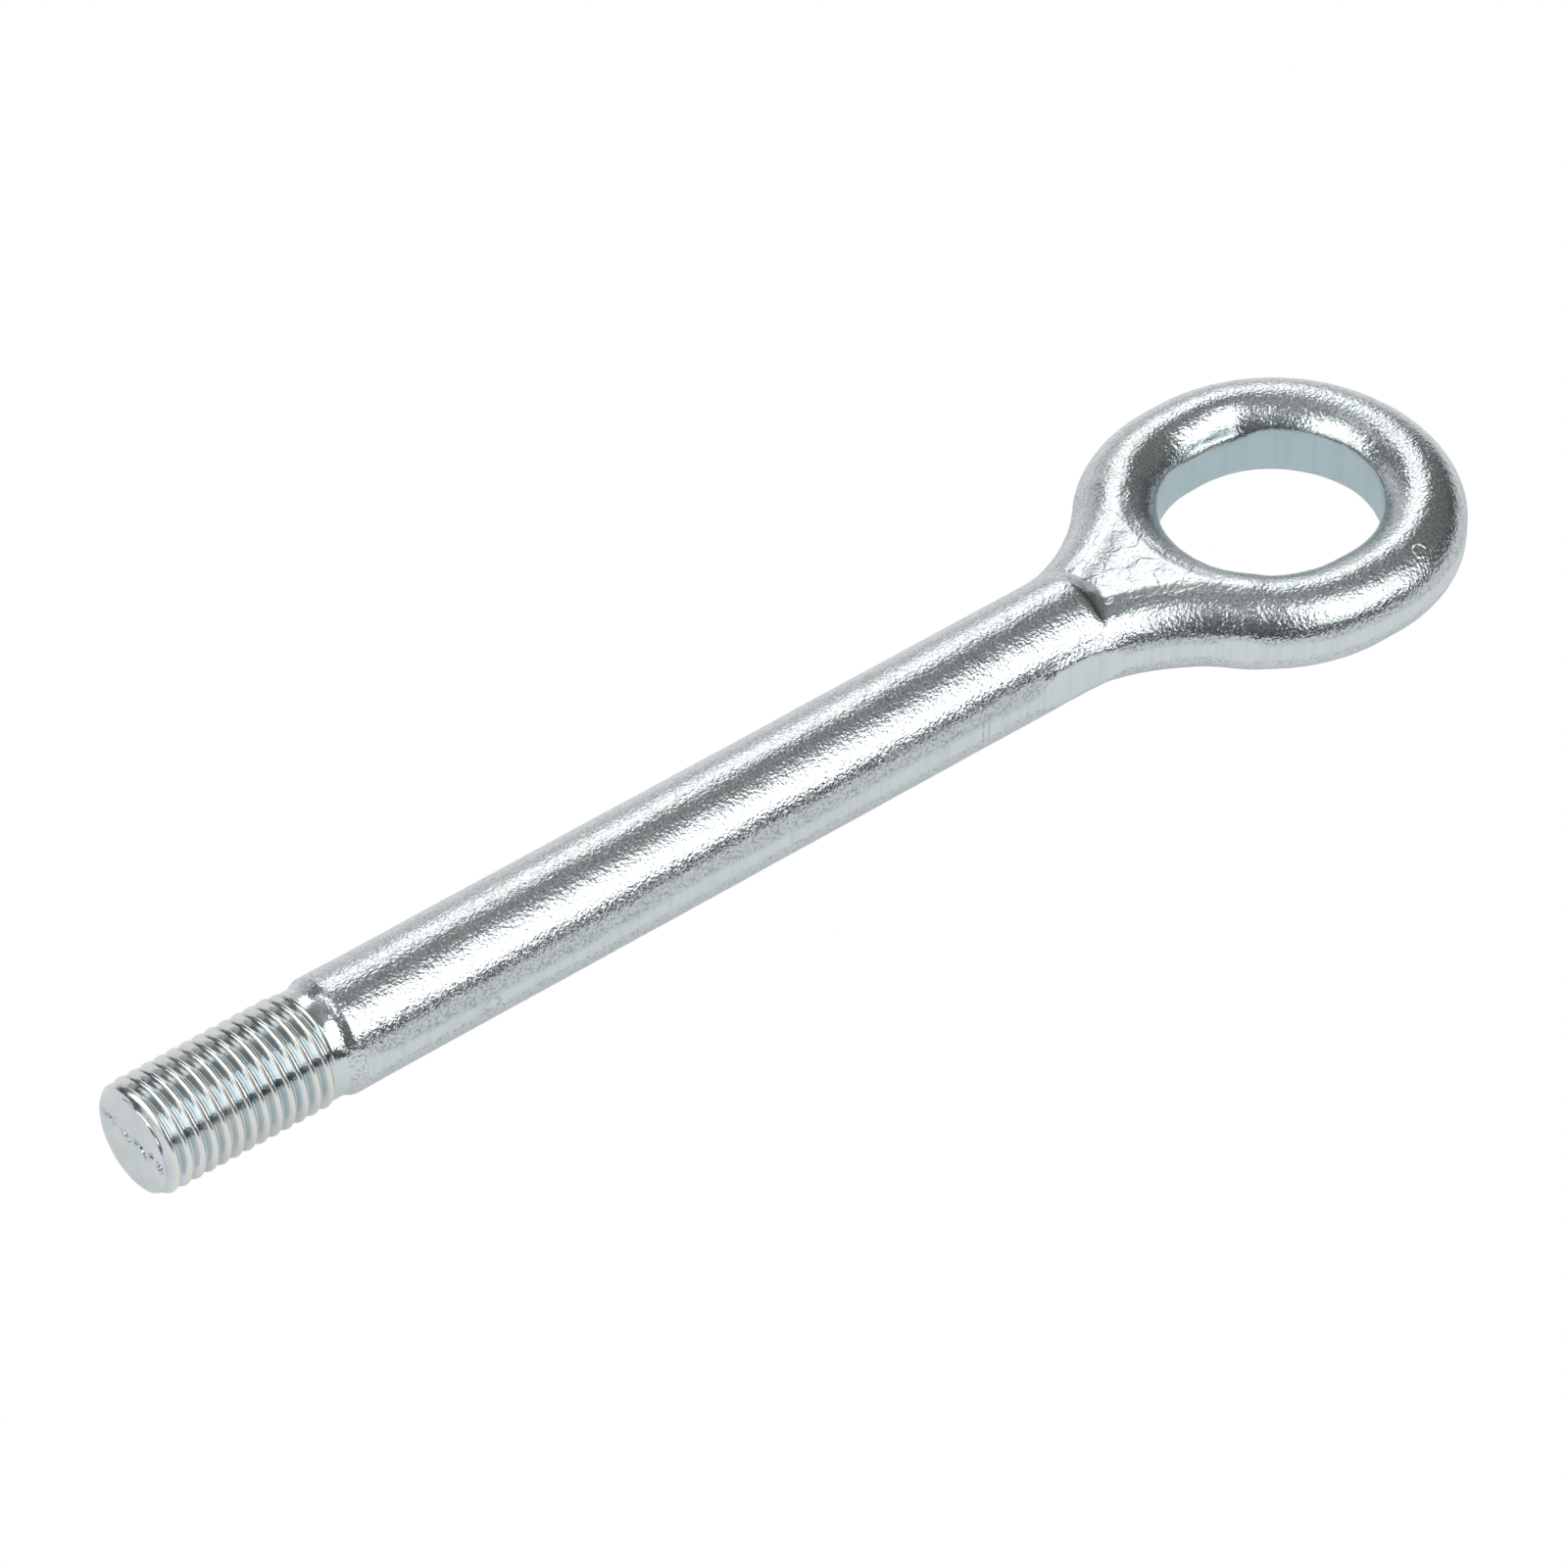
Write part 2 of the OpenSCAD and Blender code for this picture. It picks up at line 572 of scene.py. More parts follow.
@dataclass
class ForgedBody:
    """The forged part of the tow eye, from the shoulder to the far side of the eye."""

    # Size of the even net's cells, how it is relaxed and pulled, and what counts as one point
    VOXEL = 0.49
    RELAX = 6
    RELAX_SHARE = 0.5
    MERGE = 0.002
    FIRST_PULLS = 3
    LAST_PULLS = 4
    CUT_NEAR = 0.01

    # Where the lands, the hole, the web and the ring's grain start
    LAND_DEPTHS = (0.04, 0.12)
    LAND_GAP = 0.5
    BORE_REACH = (1.5, 4.0)
    WEB_REACH = (1.8, 0.0)
    FLAT_HEIGHT = 5.5
    RING_REACH = (-28, -12)
    GRAIN_GAP = 0.6

    # How much grain is lost on the ring, in the hole, on the ramp and on the web
    GRAIN_LOSSES = (0.05, 0.05, 0.75, 0.55)

    # Ramp and crease: middle and width of their bells, and the heights and sides where they show. The
    # crease's bell lays painted shade along the crown's edge
    RAMP_BELL = (-1.2, 1.6)
    RAMP_HEIGHT = 5.6
    CREASE_BELL = (0.25, 0.38)
    CREASE_SIDE = (0.8, -1.2)
    CREASE_RADII = (7.4, 7.8)
    CREASE_HEIGHT = 5

    # Painted shade, speckled, on the lower flanks, weaker on the underside
    DULL_HEIGHTS = (4.9, 3.2)
    DULL_START = (0, 3)
    BELOW_LOSS = 0.7

    sizes: EyeSizes
    seat: Seat

    def __post_init__(self) -> None:
        """Lays out the form and its marks."""
        self.form = ForgedForm(self.sizes)
        self.marks = ForgingMarks(self.form)

    def even_copy(self) -> bmesh.types.BMesh:
        """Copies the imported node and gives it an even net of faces.

        Returns:
            The closed copy.
        """
        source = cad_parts[NODE]
        net = bmesh.new()
        net.from_mesh(source.data)
        bmesh.ops.remove_doubles(net, verts=net.verts, dist=self.MERGE * MM)
        mesh = bpy.data.meshes.new("blank")
        net.to_mesh(mesh)
        net.free()
        blank = bpy.data.objects.new("blank", mesh)
        bpy.context.scene.collection.objects.link(blank)
        remesh = blank.modifiers.new("even", "REMESH")
        remesh.mode = "VOXEL"
        remesh.voxel_size = self.VOXEL * MM
        even = blank.evaluated_get(bpy.context.evaluated_depsgraph_get())
        net = bmesh.new()
        net.from_mesh(even.data)
        bpy.data.objects.remove(blank)
        bpy.data.meshes.remove(mesh)
        return net

    def shape(self, net: bmesh.types.BMesh) -> None:
        """Relaxes the net and lays it on the forged skin.

        Args:
            net: The even copy of the node.
        """
        for _ in range(self.RELAX):
            bmesh.ops.smooth_vert(net, verts=net.verts, factor=self.RELAX_SHARE, use_axis_x=True,
                                  use_axis_y=True, use_axis_z=True)
        points = self.seat.read(net.verts)
        points = self.form.pull_to_skin(points, np.zeros(len(points)), self.FIRST_PULLS)
        points = self.form.pull_to_skin(points, self.marks.sunk(points), self.LAST_PULLS)
        self.seat.write(net.verts, points)

    def cut_shoulder(self, net: bmesh.types.BMesh, place: float) -> list[bmesh.types.BMEdge]:
        """Cuts the body off square across the shank.

        Args:
            net: The shaped body.
            place: Where to cut, in millimetres from the tip.

        Returns:
            The open edges at the cut.
        """
        cut = bmesh.ops.bisect_plane(
            net, geom=[*net.verts, *net.edges, *net.faces], dist=self.CUT_NEAR * MM,
            plane_co=self.seat.place(place), plane_no=(1, 0, 0), clear_inner=True)
        edges = [g for g in cut["geom_cut"] if isinstance(g, bmesh.types.BMEdge) and g.is_valid]
        return [e for e in edges if e.is_boundary]

    def mark_surface(self, net: bmesh.types.BMesh) -> None:
        """Notes on each vertex where it lies: on a land, in the hole, on the web or in the crease, and how
        much painted shade its flank and the crease take.

        Args:
            net: The finished net in row metres.
        """
        s = self.sizes
        points = self.seat.read(net.verts)
        x = points[:, 0]
        height = np.abs(points[:, 2])
        past_shoulder = x - s.shank_start
        past_crown = x - s.ramp_foot + s.ramp_len
        skin = self.form.skin(points) + self.marks.sunk(points)
        land = smooth_step(*self.LAND_DEPTHS, -skin) * (past_shoulder > self.LAND_GAP)
        bore = smooth_step(*self.BORE_REACH, s.ring_r - self.form.along_eye(points))
        ramp = bell(past_crown - s.ramp_len, *self.RAMP_BELL) * (height > self.RAMP_HEIGHT)
        on_web = smooth_step(*self.WEB_REACH, self.form.web(points))
        on_ring = smooth_step(*self.RING_REACH, x - s.eye_near)
        grain = smooth_step(s.thread_len + self.GRAIN_GAP, s.neck_end, x) * (1 - land)
        for mask, share in zip((on_ring, bore, ramp, on_web), self.GRAIN_LOSSES):
            grain = grain * (1 - share * mask)
        # Painted shade in the concave crease where the shank's crown meets the ramp, on the near side only
        crease = bell(past_crown, *self.CREASE_BELL) * smooth_step(*self.CREASE_SIDE, points[:, 1])
        crease *= smooth_step(*self.CREASE_RADII, off_axis(points))
        crease *= points[:, 2] > self.CREASE_HEIGHT
        # Painted shade on the flanks beside the parting plane, much weaker on the underside
        dull = smooth_step(*self.DULL_HEIGHTS, height) * smooth_step(*self.DULL_START, past_shoulder)
        dull *= 1 - self.BELOW_LOSS * (points[:, 2] < 0)
        note(net, {"land": land, "bore": bore, "grain": grain, "crease": crease,
                   "flat": on_web * (height > self.FLAT_HEIGHT), "dull": dull})


@dataclass
class TurnedEnd:
    """The machined end: shear scar, lead-in, thread, run-out, neck and shoulder."""

    # Steps round one turn and along one pitch, spare turns before the tip and in all
    STEPS = 120
    PROFILE_STEPS = 14
    TURNS_BEFORE = 2
    SPARE_TURNS = 3

    # What counts as one point when turns are joined, when they are cut, and at an open end
    MERGE = 0.001
    CUT_NEAR = 0.0005
    LOOP_NEAR = 0.02

    # Length of the run-out, half the root's width, and how the crests are shaped and rounded
    RUN_OUT = 1.7
    ROOT_HALF = 0.12
    CREST_SHAPE = 1.05
    ROUNDING = 0.17
    ROUNDING_STEPS = 3

    # Lead-in: height of its cone over the roots at the tip and how much less it rises, and its rounding
    CONE_START = 0.25
    CONE_LESS = 0.1
    CONE_EDGE = 0.3
    TIP_ROUND = 0.35
    TIP_DROP = 0.22

    # Rounding of neck and shoulder, and where their rings lie
    SOFT = 0.35
    QUARTERS = (0.25, 0.5, 0.75, 1.0)
    THIRDS = (0.33, 0.66, 1.0)

    # Wear everywhere, on the thread and on the neck
    WEAR = (0.01, 0.02, 0.12)
    WEAR_CELL = (1.1, 1.4, 1.4)
    WEAR_START = 1
    WEAR_EDGE = 0.6

    # Where the thread counts as thread, and what is noted elsewhere
    THREADED = (0.6, 0.8)
    PLAIN = 0.6

    # Shear scar on the end face: its rings, line, step, tear and mottle
    CAP_RINGS = 40
    TORN_DEPTHS = (0.08, 0.30)
    TORN_END = 1.5
    TORN_INSET = 0.1
    SCAR_RISE = 0.3
    SCAR_SLOPE = 0.075
    SCAR_WAVES = ((0.40, (1, 1.3, 9)), (0.30, (1, 0.5, 7)))
    SCAR_RIM = (-0.05, -0.7)
    STEP_EDGE = (0.3, -0.3)
    STEP_DEPTH = 0.06
    TEAR_WIDTH = 0.55
    TEAR_CHIPS = Relief(0.75, (1, 0.60, 0.50))
    TEAR_MEAN = 0.30
    MOTTLE = Relief(0.012, (1, 1.5, 1.5))
    FACE_DEPTH = 0.02

    sizes: EyeSizes
    seat: Seat
    scar: LatticeNoise = field(default_factory=lambda: LatticeNoise(51))

    def thread_profile(self) -> list[tuple[float, float]]:
        """Gives one pitch of the rolled thread's profile as (place along the axis, radius).

        Returns:
            The profile's points, from root to root.
        """
        s = self.sizes
        crest = s.thread_d / 2
        profile = []
        for step in range(self.PROFILE_STEPS + 1):
            along = s.pitch * step / self.PROFILE_STEPS
            heights = []
            for part in range(-self.ROUNDING_STEPS, self.ROUNDING_STEPS + 1):
                place = (along + self.ROUNDING * part / self.ROUNDING_STEPS) % s.pitch
                off_root = min(place, s.pitch - place)
                rise = min(max((off_root - self.ROOT_HALF) / (s.pitch / 2 - self.ROOT_HALF), 0), 1)
                heights.append(math.sin(rise * math.pi / 2) ** self.CREST_SHAPE)
            profile.append((along, crest - s.thread_depth * (1 - sum(heights) / len(heights))))
        return profile

    def wind(self, net: bmesh.types.BMesh) -> None:
        """Winds the profile into a right-hand screw, longer than the thread at both ends.

        Args:
            net: The mesh that takes the thread.
        """
        s = self.sizes
        profile = self.thread_profile()
        turns = math.ceil(s.thread_len / s.pitch) + self.SPARE_TURNS
        start = -self.TURNS_BEFORE * s.pitch
        verts = [net.verts.new(self.seat.place(start + along, 0, radius)) for along, radius in profile]
        edges = [net.edges.new(pair) for pair in zip(verts, verts[1:])]
        bmesh.ops.spin(
            net, geom=[*verts, *edges], cent=self.seat.place(0), axis=(1, 0, 0),
            dvec=(s.pitch * MM / self.STEPS, 0, 0), angle=2 * math.pi,
            steps=self.STEPS, use_merge=False, use_duplicate=False)
        one_turn = [*net.verts, *net.edges, *net.faces]
        for turn in range(1, turns):
            copy = bmesh.ops.duplicate(net, geom=one_turn)["geom"]
            moved = [g for g in copy if isinstance(g, bmesh.types.BMVert)]
            bmesh.ops.translate(net, verts=moved, vec=(turn * s.pitch * MM, 0, 0))
        bmesh.ops.remove_doubles(net, verts=net.verts, dist=self.MERGE * MM)

    def trim_ends(self, net: bmesh.types.BMesh) -> None:
        """Cuts the screw square at the tip and at the end of its run-out.

        Args:
            net: The wound thread.
        """
        for place, side in ((0.0, "clear_inner"), (self.sizes.thread_len, "clear_outer")):
            bmesh.ops.bisect_plane(
                net, geom=[*net.verts, *net.edges, *net.faces], dist=self.CUT_NEAR * MM,
                plane_co=self.seat.place(place), plane_no=(1, 0, 0), **{side: True})

    def turn_down(self, net: bmesh.types.BMesh) -> None:
        """Turns the lead-in at the tip and fades the thread out into the neck.

        Args:
            net: The trimmed thread.
        """
        s = self.sizes
        crest = s.thread_d / 2
        points = self.seat.read(net.verts)
        along = points[:, 0]
        radius = off_axis(points)
        rise = (s.thread_depth - self.CONE_LESS) * along / s.lead_in
        wanted = smooth_min(radius, crest - s.thread_depth + self.CONE_START + rise, self.CONE_EDGE)
        wanted -= self.TIP_DROP * np.maximum(1 - along / self.TIP_ROUND, 0) ** 2
        fade = smooth_step(s.thread_len - self.RUN_OUT, s.thread_len, along)
        wanted += (s.neck_d / 2 - wanted) * fade
        wanted -= self.wear(points)
        points[:, 1:] *= (wanted / radius)[:, None]
        self.seat.write(net.verts, points)

    def wear(self, points: np.ndarray) -> np.ndarray:
        """Small unevenness of the turned end, in millimetres.

        Args:
            points: Points in the eye's millimetres.

        Returns:
            How far it sinks at each point.
        """
        s = self.sizes
        everywhere, thread, neck = self.WEAR
        uneven = 0.5 + 0.5 * self.scar(points, self.WEAR_CELL)
        beyond = smooth_step(s.thread_len - self.WEAR_START, s.neck_end, points[:, 0])
        before = smooth_step(self.WEAR_EDGE, -self.WEAR_EDGE, points[:, 0] - s.shank_start)
        return everywhere + uneven * (thread + neck * beyond * before)

    def end_loop(self, net: bmesh.types.BMesh, place: float) -> list[bmesh.types.BMEdge]:
        """Finds the open edges of the mesh at a place along the axis.

        Args:
            net: The mesh.
            place: Distance from the tip, in millimetres.

        Returns:
            The edges.
        """
        target = self.seat.place(place).x
        return [e for e in net.edges if e.is_boundary
                and all(abs(v.co.x - target) < self.LOOP_NEAR * MM for v in e.verts)]

    def draw_loop(self, net: bmesh.types.BMesh, edges: list[bmesh.types.BMEdge], move: float,
                  radius: float) -> list[bmesh.types.BMEdge]:
        """Draws an open loop out by one step.

        Args:
            net: The mesh that holds the loop.
            edges: The open edges.
            move: How far the new loop lies along the axis, in millimetres.
            radius: Radius of the new loop.

        Returns:
            The new open edges.
        """
        drawn = bmesh.ops.extrude_edge_only(net, edges=edges)["geom"]
        for vert in (g for g in drawn if isinstance(g, bmesh.types.BMVert)):
            axis = self.seat.place(0) + Vector((vert.co.x + move * MM - self.seat.origin.x, 0, 0))
            side = Vector((0, vert.co.y - axis.y, vert.co.z - axis.z))
            side.length = radius * MM
            vert.co = axis + side
            if move > 0:
                side.length -= self.wear(self.seat.read([vert]))[0] * MM
                vert.co = axis + side
        return [g for g in drawn if isinstance(g, bmesh.types.BMEdge) and g.is_boundary]

    def turn_shoulder(self, net: bmesh.types.BMesh, end: float) -> list[bmesh.types.BMEdge]:
        """Draws the neck and the shoulder out of the thread's end.

        Args:
            net: The thread.
            end: Where the turned end stops, in millimetres from the tip.

        Returns:
            The open edges at that end.
        """
        s = self.sizes
        neck = s.neck_d / 2
        shank = s.shank_d / 2
        soft = self.SOFT
        rest = (shank - neck) * soft / s.shoulder_len
        foot = s.neck_end + soft
        last = s.shank_start - soft
        rings = [(s.thread_len + share * (s.neck_len - soft), neck) for share in self.QUARTERS]
        rings += [(foot - 2 * soft * (1 - share), neck + rest * share ** 2) for share in self.QUARTERS]
        for x in (foot + (last - foot) * share for share in self.THIRDS):
            rings.append((x, neck + (shank - neck) * (x - s.neck_end) / s.shoulder_len))
        rings += [(last + 2 * soft * share, shank - rest * (1 - share) ** 2) for share in self.QUARTERS]
        rings.append((end, shank))
        edges = self.end_loop(net, s.thread_len)
        place = s.thread_len
        for x, radius in rings:
            edges = self.draw_loop(net, edges, x - place, radius)
            place = x
        return edges

    def mark_groove(self, net: bmesh.types.BMesh) -> None:
        """Notes on each vertex how deep it lies in the thread, and where the end face is torn.

        Args:
            net: The finished net in row metres.
        """
        s = self.sizes
        points = self.seat.read(net.verts)
        x = points[:, 0]
        radius = off_axis(points)
        start, gap = self.THREADED
        threaded = (x < s.thread_len - gap) & (x > start)
        depth = np.clip((s.thread_d / 2 - radius) / s.thread_depth, 0, 1)
        on_face = radius < s.thread_d / 2 - s.thread_depth - self.TORN_INSET
        torn = smooth_step(*self.TORN_DEPTHS, x) * on_face * (x < self.TORN_END)
        note(net, {"groove": np.where(threaded, depth, self.PLAIN), "scar": torn})

    def close_tip(self, net: bmesh.types.BMesh) -> None:
        """Closes the tip with a flat face that carries the ragged scar of the shear.

        Args:
            net: The turned end, open at the tip.
        """
        s = self.sizes
        outer = s.thread_d / 2 - s.thread_depth
        edges = self.end_loop(net, 0.0)
        for ring in range(1, self.CAP_RINGS):
            edges = self.draw_loop(net, edges, 0.0, outer * (1 - ring / self.CAP_RINGS))
        rim = list(dict.fromkeys(v for e in edges for v in e.verts))
        bmesh.ops.pointmerge(net, verts=rim, merge_co=self.seat.place(0.0))
        flat = [v for v in net.verts if abs(v.co.x - self.seat.origin.x) < self.MERGE * MM]
        for vert, depth in zip(flat, self.scar_depth(self.seat.read(flat))):
            vert.co.x += depth * MM

    def scar_depth(self, points: np.ndarray) -> np.ndarray:
        """Gives how far the end face sinks at some of its points, in millimetres.

        Args:
            points: Points of the end face, in the eye's millimetres.

        Returns:
            Depth at each point.
        """
        outer = self.sizes.thread_d / 2 - self.sizes.thread_depth
        low, high = self.SCAR_RIM
        across = smooth_step(outer + low, outer + high, off_axis(points))
        side = points[:, 2] - self.SCAR_SLOPE * points[:, 1] - self.SCAR_RISE
        for depth, cell in self.SCAR_WAVES:
            side = side - depth * self.scar(points, cell)
        step = self.STEP_DEPTH * smooth_step(*self.STEP_EDGE, side)
        chips = self.TEAR_MEAN + self.TEAR_CHIPS.read(self.scar, points)
        tear = bell(side, 0, self.TEAR_WIDTH) * np.maximum(chips, 0)
        mottle = self.MOTTLE.depth + self.MOTTLE.read(self.scar, points)
        return (step + tear + mottle) * across + self.FACE_DEPTH


class Tint(Enum):
    """Colours of zinc plating where light falls on it in different ways."""

    CLEAR = (0.80, 0.825, 0.84)
    SKIN = (0.70, 0.75, 0.77)
    SPECK = (0.47, 0.51, 0.515)
    # Darker blue painted shade for the thread's roots
    BLUE = (0.50, 0.59, 0.63)
    LAND = (0.70, 0.76, 0.77)
    # Darker, bluer painted shade for the trimmed walls inside the hole
    BORE = (0.54, 0.67, 0.70)
    SLATE = (0.33, 0.36, 0.39)
    STRAW = (0.82, 0.80, 0.68)
    STAIN = (0.66, 0.64, 0.54)
    # Dark brown painted shade for the crease at the shank's crown
    SCALE = (0.20, 0.18, 0.16)
    RUST = (0.36, 0.32, 0.27)


@dataclass(frozen=True)
class PlatedFinish:
    """One finish of the plated steel.

    Args:
        name: Name of the material.
        tint: Main colour.
        second: Colour of its specks, or the painted shade in its grooves.
        rough: Lowest and highest roughness.
        relief: Height of its fine relief, in millimetres.
    """

    name: str
    tint: Tint
    second: Tint
    rough: tuple[float, float]
    relief: float


@dataclass(frozen=True)
class NoiseLayer:
    """One noise of a shared effect.

    Args:
        scale: Number of its waves in a metre.
        detail: Number of finer waves on top of them.
        roughness: How strong the finer waves are.
        distortion: How far the waves wind.
        sharp: The noise's values that become 0 and 1.
        share: How much of the effect the layer makes.
        upright: Scale along Z, which is small for upright streaks.
    """

    scale: float
    detail: float
    roughness: float = 0.5
    distortion: float = 0.0
    sharp: tuple[float, float] = (0.0, 1.0)
    share: float = 1.0
    upright: float = 1.0


class Effect(Enum):
    """Shared effects of the plating. Each is a sum of noises, from 0 to 1."""

    # Orange peel of the forged skin
    PEEL = (NoiseLayer(2300.0, 1.5, 0.6, share=0.62), NoiseLayer(800.0, 1.5, 0.55, 0.5, share=0.38))
    # Fine upright streaks that the trimming tool leaves
    STREAKS = (NoiseLayer(1300.0, 3.0, 0.6, upright=0.03),)
    # Thin scale pressed flat in overlapping flakes
    FLAKES = (NoiseLayer(190.0, 2.0, 0.5, 0.5, (0.475, 0.51), 0.6),
              NoiseLayer(340.0, 2.0, 0.5, 0.5, (0.465, 0.515), 0.4))
    # Tiny dull specks in the bright skin
    SPECKS = (NoiseLayer(2600.0, 1.0, 0.6, sharp=(0.48, 0.62)),)
    # A few faint straw stains
    STAINS = (NoiseLayer(150.0, 3.0, 0.6, sharp=(0.60, 0.72)),)
    # Uneven patches of plating: broad on the skin, small on the turned end and on the crests
    PATCHES = (NoiseLayer(55.0, 3.0, sharp=(0.35, 0.65)),)
    TURNED_PATCHES = (NoiseLayer(260.0, 3.0, sharp=(0.35, 0.65)),)
    CREST_PATCHES = (NoiseLayer(420.0, 3.0, sharp=(0.35, 0.65)),)


@dataclass(frozen=True)
class OvalMark:
    """A small oval mark on the plating.

    Args:
        centre: Its middle, in millimetres from the tip, across and up.
        half_sizes: Half its sizes along, across and up, in millimetres.
        line: Near 1 for a dried ring and 0 for a full spot.
        turn: Its turn about the upright, in degrees.
    """

    centre: tuple[float, float, float]
    half_sizes: tuple[float, float, float]
    line: float
    turn: float = 0.0


# Dried rings on the eye and on the land, a brown spot on the bar and two fine upright marks
OVAL_MARKS = (
    OvalMark((195.5, -21.35, 5.25), (1.3, 0.9, 1.6), 0.85, 20.0),
    OvalMark((170.6, -13.6, 4.7), (1.1, 0.9, 1.2), 0.4),
    OvalMark((50.8, -7.95, -0.6), (1.5, 1.0, 1.0), 0.8),
    OvalMark((131.7, -7.9, -0.5), (0.16, 1.0, 1.9), 0.0),
    OvalMark((132.7, -7.9, -0.2), (0.14, 1.0, 1.4), 0.0),
)


@dataclass
class NodeDraft:
    """Short hand for adding nodes to a tree."""

    tree: bpy.types.NodeTree

    def __call__(self, kind: str, values: dict[str, object] | None = None) -> bpy.types.Node:
        """Adds a node and sets its inputs.

        Args:
            kind: Type of the node.
            values: Value of each input that is set.

        Returns:
            The node.
        """
        node = self.tree.nodes.new(kind)
        for label, value in (values or {}).items():
            node.inputs[label].default_value = value
        return node

    def fed(self, kind: str, source: Socket, values: dict[str, object] | None = None) -> Socket:
        """Adds a node whose first input takes a source, and gives its first output.

        Args:
            kind: Type of the node.
            source: What its first input takes.
            values: Value of each other input that is set.

        Returns:
            Its first output.
        """
        node = self(kind, values)
        self.tree.links.new(source, node.inputs[0])
        return node.outputs[0]

    def attribute(self, name: str) -> Socket:
        """Gives the number that the vertices hold under a name.

        Args:
            name: Name of the attribute.

        Returns:
            The number.
        """
        node = self("ShaderNodeAttribute")
        node.attribute_name = name
        return node.outputs["Fac"]

    def math(self, how: str, first: Socket, second: Socket | float) -> Socket:
        """Adds a math node and gives its result.

        Args:
            how: What the node does.
            first: Its first number.
            second: Its second number.

        Returns:
            The result.
        """
        node = self.tree.nodes.new("ShaderNodeMath")
        node.operation = how
        self.tree.links.new(first, node.inputs[0])
        if isinstance(second, (int, float)):
            node.inputs[1].default_value = second
        else:
            self.tree.links.new(second, node.inputs[1])
        return node.outputs[0]

    def plus(self, base: Socket, mask: Socket, share: float) -> Socket:
        """Adds a share of a mask to a number."""
        return self.math("ADD", base, self.math("MULTIPLY", mask, share))

    def mix(self, mask: Socket, first: Socket | Shade, second: Socket | Shade) -> Socket:
        """Adds a colour mix and gives its result.

        Args:
            mask: Share of the second colour.
            first: The first colour.
            second: The second colour.

        Returns:
            The mixed colour.
        """
        node = self.tree.nodes.new("ShaderNodeMix")
        node.data_type = "RGBA"
        self.tree.links.new(mask, node.inputs["Factor"])
        for label, value in (("A", first), ("B", second)):
            socket = [i for i in node.inputs if i.name == label and i.type == "RGBA"][0]
            if isinstance(value, tuple):
                socket.default_value = (*value, 1.0)
            else:
                self.tree.links.new(value, socket)
        return [o for o in node.outputs if o.type == "RGBA"][0]

    def tinted(self, colour: Socket, mask: Socket, share: float, tint: Tint) -> Socket:
        """Lays a share of a tint over a colour where the mask is."""
        return self.mix(self.math("MULTIPLY", mask, share), colour, tint.value)

    def blend(self, mask: Socket, first: float, second: float) -> Socket:
        """Adds a number that goes from first to second with the mask."""
        return self.fed("ShaderNodeMapRange", mask, {"To Min": first, "To Max": second})

    def sharpen(self, source: Socket, low: float, high: float) -> Socket:
        """Adds a mask that goes from 0 to 1 where the source goes from low to high."""
        return self.fed("ShaderNodeMapRange", source, {"From Min": low, "From Max": high})


